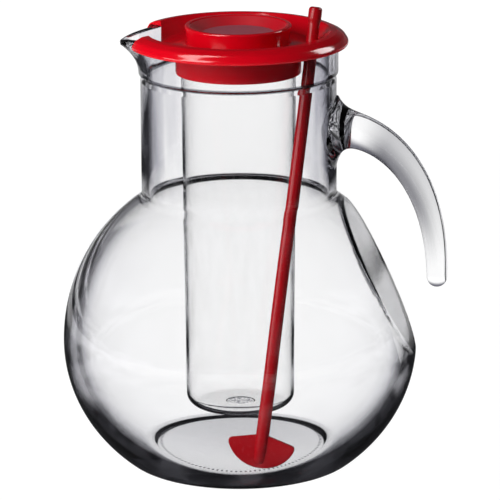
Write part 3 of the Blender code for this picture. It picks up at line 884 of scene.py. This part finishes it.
TUBE_CORNERS = (
    (0.0, TUBE_BOTTOM + TUBE_FLOOR, 0.0),
    (0.0263, TUBE_BOTTOM + TUBE_FLOOR, 0.0053),
    (0.0277, TUBE_TOP, 0.0004),
    (TUBE_RADIUS, TUBE_TOP, 0.0005),
    (0.0275, TUBE_BOTTOM, 0.0065),
    (0.0075, TUBE_BOTTOM, 0.0003),
    (0.0068, TUBE_BOTTOM + GATE_DEPTH, 0.0003),
    (0.0, TUBE_BOTTOM + GATE_DEPTH, 0.0),
)
SEAL_CORNERS = (
    (SEAL_MIDDLE_RADIUS, SEAL_LOW, 0.0),
    (SEAL_INNER_RADIUS, SEAL_LOW, SEAL_ROUND),
    (SEAL_INNER_RADIUS, SEAL_LOW + SEAL_THICKNESS, SEAL_ROUND),
    (TUBE_RADIUS, SEAL_LOW + SEAL_THICKNESS, SEAL_ROUND),
    (TUBE_RADIUS, SEAL_LOW, SEAL_ROUND),
    (SEAL_MIDDLE_RADIUS, SEAL_LOW, 0.0),
)


def tube_profile():
    """The tube's section, inside first, with close points where the thread is."""
    points = rounded(TUBE_CORNERS, 8)
    wall = max(range(1, len(points)), key=lambda n: points[n - 1][1] - points[n][1])
    top, foot = points[wall - 1], points[wall]
    share = THREAD_REACH / (top[1] - foot[1])
    below = (top[0] + (foot[0] - top[0]) * share, top[1] - THREAD_REACH)
    threaded = split([top, below], THREAD_STEP)[1:]
    return split(points[:wall], WALL_STEP) + threaded + split([below] + points[wall:], WALL_STEP)[1:]


def tube_shape(grid):
    """The thread on the outside of the tube's top."""
    outer = np.nonzero((grid[:, 0, 0] > TUBE_WALL_MIDDLE) & (grid[:, 0, 2] > TUBE_TOP - THREAD_REACH))[0]
    cut_thread(grid[outer[0] : outer[-1] + 1], *TUBE_THREAD, THREAD_DEPTH, 0.0)


tube = turned("ice_tube_clear", tube_profile(), tube_plastic, "ice_tube", 144, tube_shape)
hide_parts("ice_tube")

seal = turned("tube_seal_ring", rounded(SEAL_CORNERS), rubber, "seal", 120)
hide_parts("tube_seal")


# Stirrer

def blade_outline():
    """A half-moon, round side down, with soft corners."""
    across, droop = BLADE_ACROSS, math.tan(BLADE_DROOP)
    start = math.pi + BLADE_CORNER
    points = [(0.0, 0.0), (-across * 0.93, -across * 0.93 * droop)]
    corner = (-BLADE_RADIUS * math.cos(start - math.pi), -BLADE_RADIUS * math.sin(start - math.pi))
    points += bezier(points[-1], (-across - 0.0006, -across * droop - 0.0004), corner, 5)[1:]
    points += arc((0.0, 0.0), (BLADE_RADIUS, BLADE_RADIUS), start, 3 * math.pi - start, 40)[1:-1]
    return points + [(-x, z) for x, z in reversed(points[1:8])]


def make_blade():
    """The blade, upright at the origin, with its edges bevelled."""
    outline = blade_outline()
    side = BLADE_HALF - BLADE_ROUND
    verts = []
    for depth, shrink in ((-BLADE_HALF, BLADE_ROUND), (-side, 0.0), (side, 0.0), (BLADE_HALF, BLADE_ROUND)):
        share = 1.0 - shrink / BLADE_SPAN
        verts += [Vector((x * share, depth, -BLADE_MIDDLE + (z + BLADE_MIDDLE) * share)) for x, z in outline]
    count = len(outline)
    faces = grid_faces(4, count) + [tuple(range(count)), tuple(range(3 * count, 4 * count))]
    return place_mesh("blade", verts, faces, stirrer_red, None)


def make_stirrer():
    """Knob, rod and blade in one moulding, leaning in the slot."""
    hole, foot = stirrer_line()
    up = (hole - foot).normalized()
    wide = Vector((math.cos(BLADE_AZIMUTH), math.sin(BLADE_AZIMUTH), 0.0))
    wide = (wide - up * wide.dot(up)).normalized()
    facing = up.cross(wide)
    reach = BLADE_RADIUS * math.hypot(up.z, wide.z) + BLADE_HALF * abs(facing.z)
    centre = foot + up * ((GAP + reach) / up.z)
    top = (hole - centre).length + STIRRER_PROUD / up.z
    profile = rounded(
        [
            (0.0, top, 0.0),
            (KNOB_RADIUS, top, 0.0032),
            (KNOB_RADIUS, top - 0.0060, 0.0010),
            (ROD_RADIUS, top - 0.0080, 0.0020),
            (ROD_LOW_RADIUS, 0.0, 0.0),
            (ROD_LOW_RADIUS, -0.0080, 0.0040),
            (0.0024, -0.0154, 0.0012),
            (0.0, -0.0154, 0.0),
        ]
    )
    lean = Matrix((wide, facing, up)).transposed().to_4x4()
    lean.translation = centre
    stirrer = turned("stirrer_red", split(profile, FLAT_STEP), stirrer_red, None, 40)
    stirrer.data.transform(lean)
    blade = make_blade()
    blade.data.transform(lean)
    outward(blade.data)
    boolean(stirrer, blade, "UNION")
    smooth(stirrer.data)
    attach(stirrer, "stirrer")
    return stirrer


stirrer = make_stirrer()
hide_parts("stirrer")


# Studio

# The share of glow in the floor near the jug, the glow's strength, white seen through glass, and even light
FLOOR_GLOW = 0.88
GLOW_STRENGTH = 1.08
WHITE_IN_GLASS = 1.14
AMBIENT = 0.07

# What rays meet, by the way they took: straight through glass, turned back in it, or off an outer surface
ROOM_IN_GLASS = (0.22, 0.22, 0.26)
DARK_IN_GLASS = (0.015, 0.015, 0.018)
LIGHT_IN_GLASS = (0.85, 0.85, 0.88)
NEAR_LIGHT_IN_GLASS = (0.08, 0.08, 0.09)
ROOM_LIGHT_IN_GLASS = (0.25, 0.25, 0.27)
FLOOR_IN_GLOSS = (0.05, 0.05, 0.055)
RING_IN_GLOSS = (0.95, 0.95, 0.97)
BEHIND_IN_GLOSS = (0.85, 0.85, 0.87)
HORIZON_IN_GLOSS = (0.12, 0.12, 0.13)
ROOM_IN_GLOSS = (0.02, 0.02, 0.022)

# The floor: bands of distance round the jug, where it counts as behind the jug, and where its glow grows
GLOSS_RING = (0.34, 0.44, 0.58, 0.64)
GLASS_RING = (0.10, 0.14, 0.58, 0.64)
BEHIND = (0.62, 0.74)
GLOW_GROWS = (0.5, 1.3)
FLOOR_WHITE = (0.93, 0.93, 0.93)
FLOOR_REACH = 6.0
FLOOR_LEVEL = -0.0002

# The photograph's viewpoint, fitted to the jug's own circles, with its focal length in pixels
VIEW_TURN = math.radians(2.5)
VIEW_SPOT = Vector((0.0, -1.8647, 0.6102))
VIEW_AIM = Vector((0.0053, 0.0, 0.1103))
VIEW_ROLL = -0.0058
VIEW_LENGTH = 3801.0
PHOTO_SIZE = 500.0
SENSOR = 36.0

# Each lamp's power, its width and height, and its azimuth, elevation and distance from the lid
LAMPS = {
    "key": (22.0, (0.8, 1.0), (-46, 26, 1.5)),
    "low": (3.0, (0.5, 0.3), (-70, 3, 1.3)),
    "top": (11.0, (0.5, 0.9), (-66, 60, 1.5)),
    "side": (6.5, (0.42, 0.50), (112, 31, 1.2)),
    "back_left": (8.0, (0.8, 0.5), (-145, 5, 1.5)),
    "back_right": (8.0, (0.8, 0.5), (140, 5, 1.5)),
}
LAMP_AIM_HEIGHT = 0.2

# The lamps that only show in gloss, and those that only give soft light
ONLY_IN_GLOSS = ("top", "side")
ONLY_SOFT_LIGHT = ("back_left", "back_right")


def ray_kinds(tree):
    """1 where a ray comes from the camera, through glass, off a surface, or is turned back in glass."""
    path = tree.nodes.new("ShaderNodeLightPath").outputs
    plain = tree.math("SUBTRACT", 1.0, tree.math("MINIMUM", path["Diffuse Depth"], 1.0))
    entered = tree.math("MINIMUM", path["Transmission Depth"], 1.0)
    reflected = tree.times(tree.math("MINIMUM", path["Glossy Depth"], 1.0), plain)
    turned_back = tree.times(reflected, entered)
    straight = tree.math("SUBTRACT", plain, reflected)
    outer = tree.math("SUBTRACT", reflected, turned_back)
    through = tree.times(path["Is Transmission Ray"], straight)
    gloss = tree.times(path["Is Glossy Ray"], outer)
    return path["Is Camera Ray"], through, gloss, turned_back


def patches(tree, coords, scale, light):
    """Soft bright patches on a dark ground, so that light turned back in the glass gives streaks."""
    spots = tree.fade(tree.noise(scale, coords=coords), 0.40, 0.57)
    return tree.mix(spots, DARK_IN_GLASS, light)


def floor_material():
    """White with the jug's shadow; in reflections dark but for a ring and for what lies behind the jug."""
    material, tree, shader = new_material("floor_white")
    coords = tree.coords()
    camera, through, gloss, turned_back = ray_kinds(tree)
    away = tree.away(coords)
    behind = tree.fade(tree.part(coords, "Y"), *BEHIND)
    in_gloss = tree.mix(tree.band(away, *GLOSS_RING), FLOOR_IN_GLOSS, RING_IN_GLOSS)
    in_gloss = tree.mix(behind, in_gloss, BEHIND_IN_GLOSS)
    bright = tree.math("MAXIMUM", tree.band(away, *GLASS_RING), behind)
    near = patches(tree, coords, 34.0, NEAR_LIGHT_IN_GLASS)
    in_wall = tree.mix(bright, near, patches(tree, coords, 9.0, LIGHT_IN_GLASS))
    tone = tree.mix(gloss, FLOOR_WHITE, in_gloss)
    tone = tree.mix(turned_back, tone, in_wall)
    tree.fill(shader, {"Base Color": tone, "Roughness": 0.9, "Specular IOR Level": 0.0})
    glow = tree.nodes.new("ShaderNodeEmission")
    tree.fill(glow, {"Strength": tree.between(through, GLOW_STRENGTH, WHITE_IN_GLASS)})
    share = tree.between(tree.fade(away, *GLOW_GROWS), FLOOR_GLOW, 1.0)
    share = tree.times(tree.math("MAXIMUM", camera, through), share)
    blend = tree.nodes.new("ShaderNodeMixShader")
    tree.fill(blend, {0: share, 1: shader.outputs["BSDF"], 2: glow.outputs["Emission"]})
    tree.fill(tree.nodes["Material Output"], {"Surface": blend.outputs["Shader"]})
    return material


def make_floor():
    """The wide flat floor, just below the jug's foot."""
    corners = ((-1, -1), (1, -1), (1, 1), (-1, 1))
    verts = [(x * FLOOR_REACH, y * FLOOR_REACH, FLOOR_LEVEL) for x, y in corners]
    floor = place_mesh("floor", verts, [(0, 1, 2, 3)], floor_material(), None)
    return floor


def make_world():
    """White to the camera, white below a dimmer room through glass, dark in gloss, and a dim even light."""
    world = bpy.data.worlds.new("studio")
    bpy.context.scene.world = world
    tree = Tree(world)
    coords = tree.coords("Generated")
    height = tree.part(coords, "Z")
    camera, through, gloss, turned_back = ray_kinds(tree)
    in_glass = tree.mix(tree.fade(height, 0.10, 0.50), (WHITE_IN_GLASS,) * 3, ROOM_IN_GLASS)
    in_gloss = tree.mix(tree.fade(height, 0.04, 0.40), HORIZON_IN_GLOSS, ROOM_IN_GLOSS)
    in_wall = patches(tree, coords, 2.5, ROOM_LIGHT_IN_GLASS)
    colour = tree.mix(turned_back, (AMBIENT,) * 3, in_wall)
    colour = tree.mix(through, colour, in_glass)
    colour = tree.mix(gloss, colour, in_gloss)
    colour = tree.mix(camera, colour, (1.0, 1.0, 1.0))
    tree.fill(tree.nodes["Background"], {"Color": colour})


def around(azimuth, elevation, distance):
    """A place seen from the lid, azimuth to the right of the photograph's viewpoint."""
    turn = math.radians(azimuth) + VIEW_TURN
    up = math.radians(elevation)
    flat = distance * math.cos(up)
    return (flat * math.sin(turn), -flat * math.cos(turn), LAMP_AIM_HEIGHT + distance * math.sin(up))


def make_lamp(name, power, size, spot, pieces):
    """A soft rectangular lamp that works on the pieces given, through any glass between."""
    data = bpy.data.lights.new(name, "AREA")
    data.shape = "RECTANGLE"
    data.size, data.size_y = size
    data.energy = power
    lamp = bpy.data.objects.new(name, data)
    bpy.context.scene.collection.objects.link(lamp)
    lamp.location = spot
    aim = Vector((0.0, 0.0, LAMP_AIM_HEIGHT)) - Vector(spot)
    lamp.rotation_euler = aim.to_track_quat("-Z", "Y").to_euler()
    lamp.visible_camera = False
    lamp.visible_diffuse = name not in ONLY_IN_GLOSS
    lamp.visible_glossy = name not in ONLY_SOFT_LIGHT
    lit = bpy.data.collections.new(name + "_pieces")
    for piece in pieces:
        lit.objects.link(piece)
    lamp.light_linking.receiver_collection = lit
    lamp.light_linking.blocker_collection = lit


def make_camera():
    """The photograph's view, with its slight roll."""
    turn = Matrix.Rotation(VIEW_TURN, 4, "Z")
    spot, aim = turn @ VIEW_SPOT, turn @ VIEW_AIM
    data = bpy.data.cameras.new("camera")
    data.lens = VIEW_LENGTH / PHOTO_SIZE * SENSOR
    data.sensor_width = SENSOR
    data.clip_end = 50.0
    camera = bpy.data.objects.new("camera", data)
    bpy.context.scene.collection.objects.link(camera)
    look = (aim - spot).to_track_quat("-Z", "Y").to_matrix().to_4x4()
    camera.matrix_world = Matrix.Translation(spot) @ look @ Matrix.Rotation(VIEW_ROLL, 4, "Z")
    bpy.context.scene.camera = camera


floor = make_floor()
make_world()
for lamp_name, (power, size, place) in LAMPS.items():
    make_lamp(lamp_name, power, size, around(*place), [lid, stirrer, seal, floor])
make_camera()
bpy.context.scene.view_settings.view_transform = "Standard"
